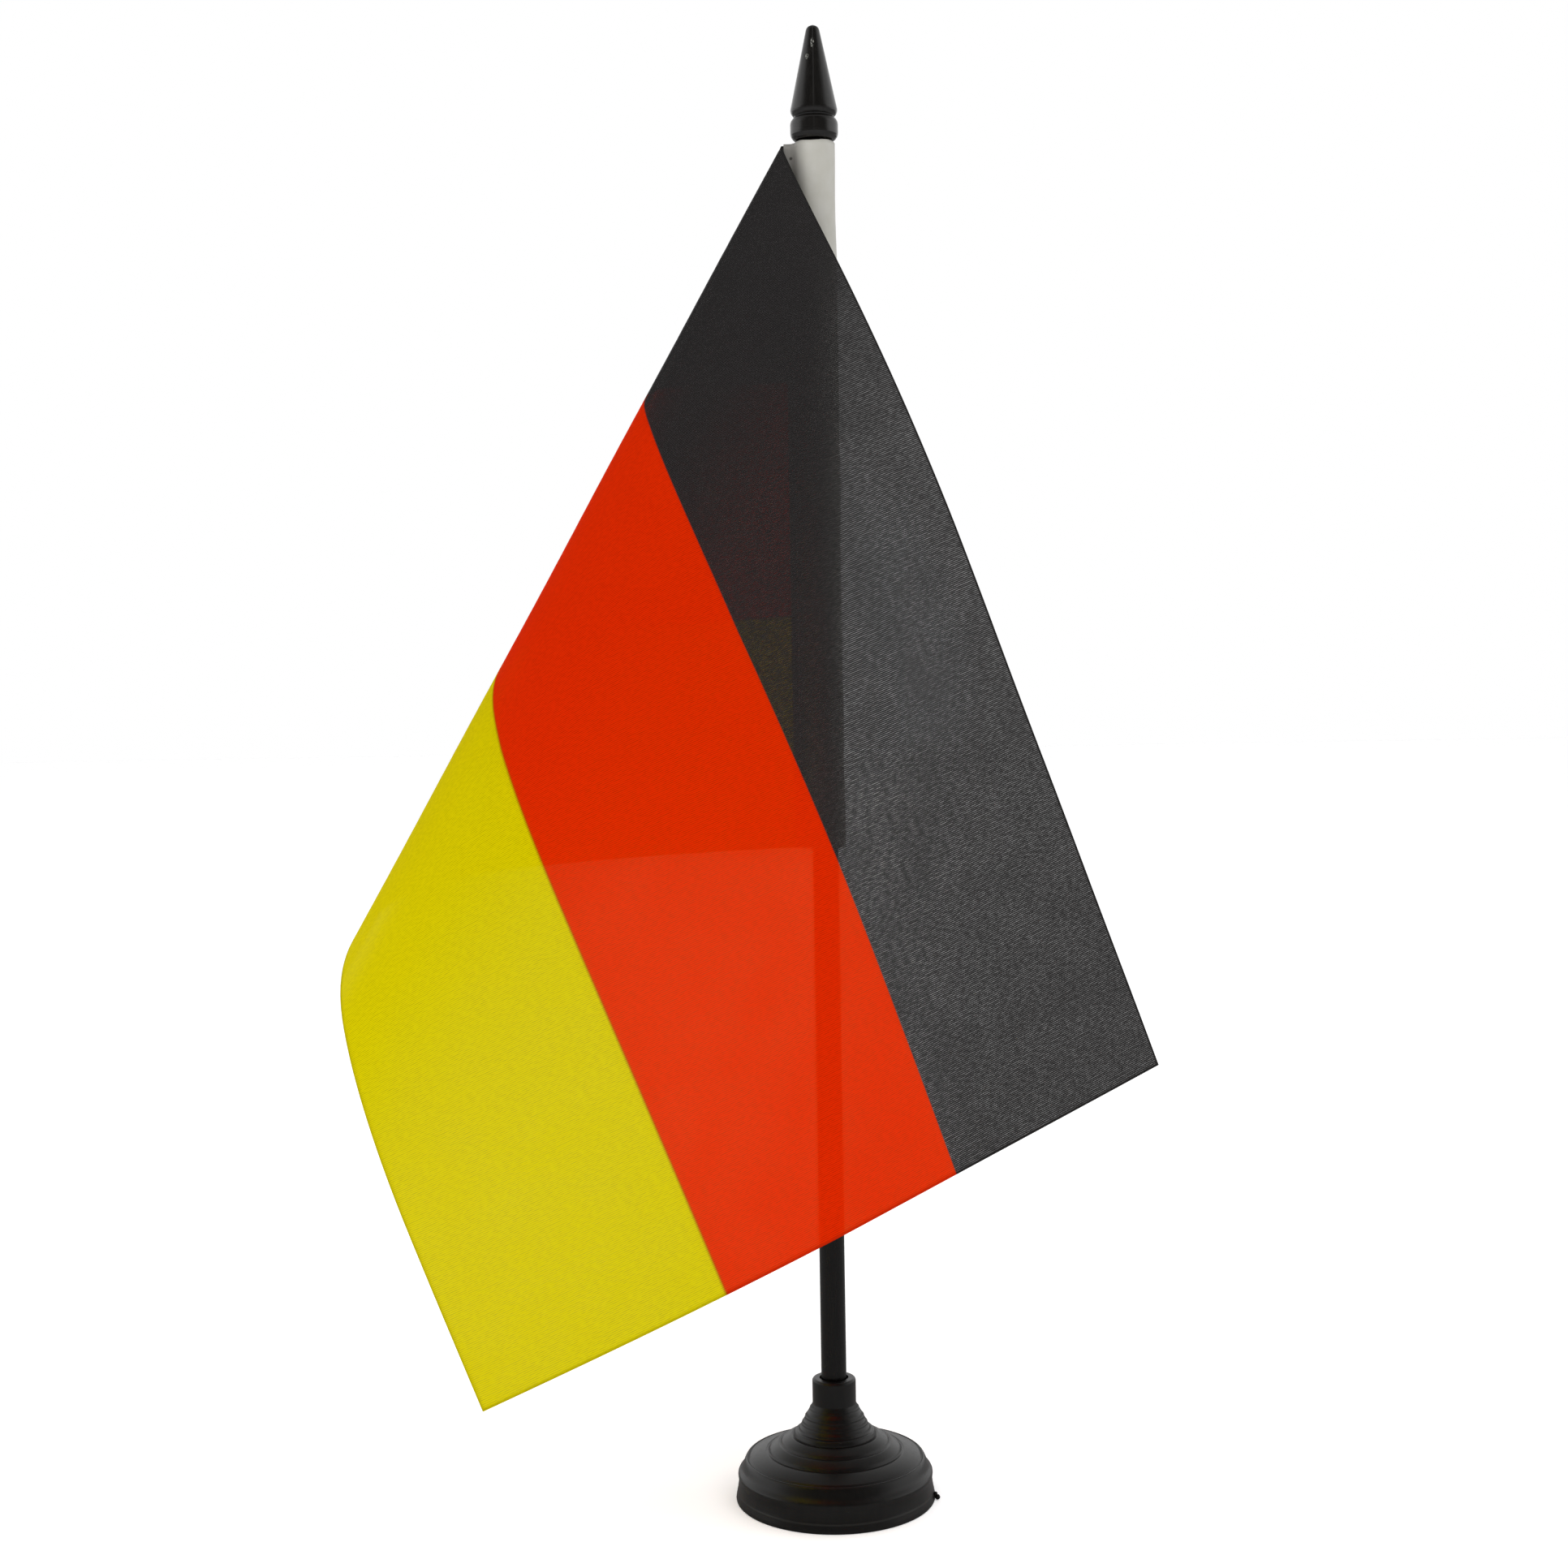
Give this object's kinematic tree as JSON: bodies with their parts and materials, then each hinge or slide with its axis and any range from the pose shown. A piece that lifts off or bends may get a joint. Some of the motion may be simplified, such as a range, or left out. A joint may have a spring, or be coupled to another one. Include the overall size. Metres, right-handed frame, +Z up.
{
  "type": "desk flag stand",
  "caption": "Small cloth tricolour flag on a white sleeve round a thin black pole, with a spear finial and a round rippled base; the flag turns and the pole lifts out.",
  "frame": {"origin": "centre of the base's underside, on the pole's axis, at table height", "axes": "+Z up along the pole to the finial; -Y to the front, where the flag's free end hangs; the flag leaves the pole to the left, -X"},
  "size_m": [0.1559, 0.0833, 0.3],
  "materials": {
    "base_plastic": "satin",
    "pole_plastic": "satin",
    "finial_plastic": "satin",
    "sleeve_fabric": "smooth polyester satin",
    "flag_fabric": "thin ribbed polyester printed in black, red and gold stripes",
    "seam_thread": "white sewing thread"
  },
  "bodies": {
    "stand": {"base": "base_plastic"},
    "mast": {"pole": "pole_plastic"},
    "cap": {"finial": "finial_plastic"},
    "flag": {"sleeve": "sleeve_fabric", "flag_cloth": "flag_fabric", "seam_stitches": "seam_thread"}
  },
  "joints": [
    {"name": "pole_lift", "type": "slide", "parent": "stand", "child": "mast", "axis": [0, 0, 1], "range_m": [0, 0.025]},
    {"name": "finial_lift", "type": "slide", "parent": "mast", "child": "cap", "axis": [0, 0, 1], "range_m": [0, 0.015]},
    {"name": "flag_turn", "type": "hinge", "parent": "mast", "child": "flag", "pos_m": [0, 0, 0.2], "axis": [0, 0, 1], "continuous": true}
  ]
}
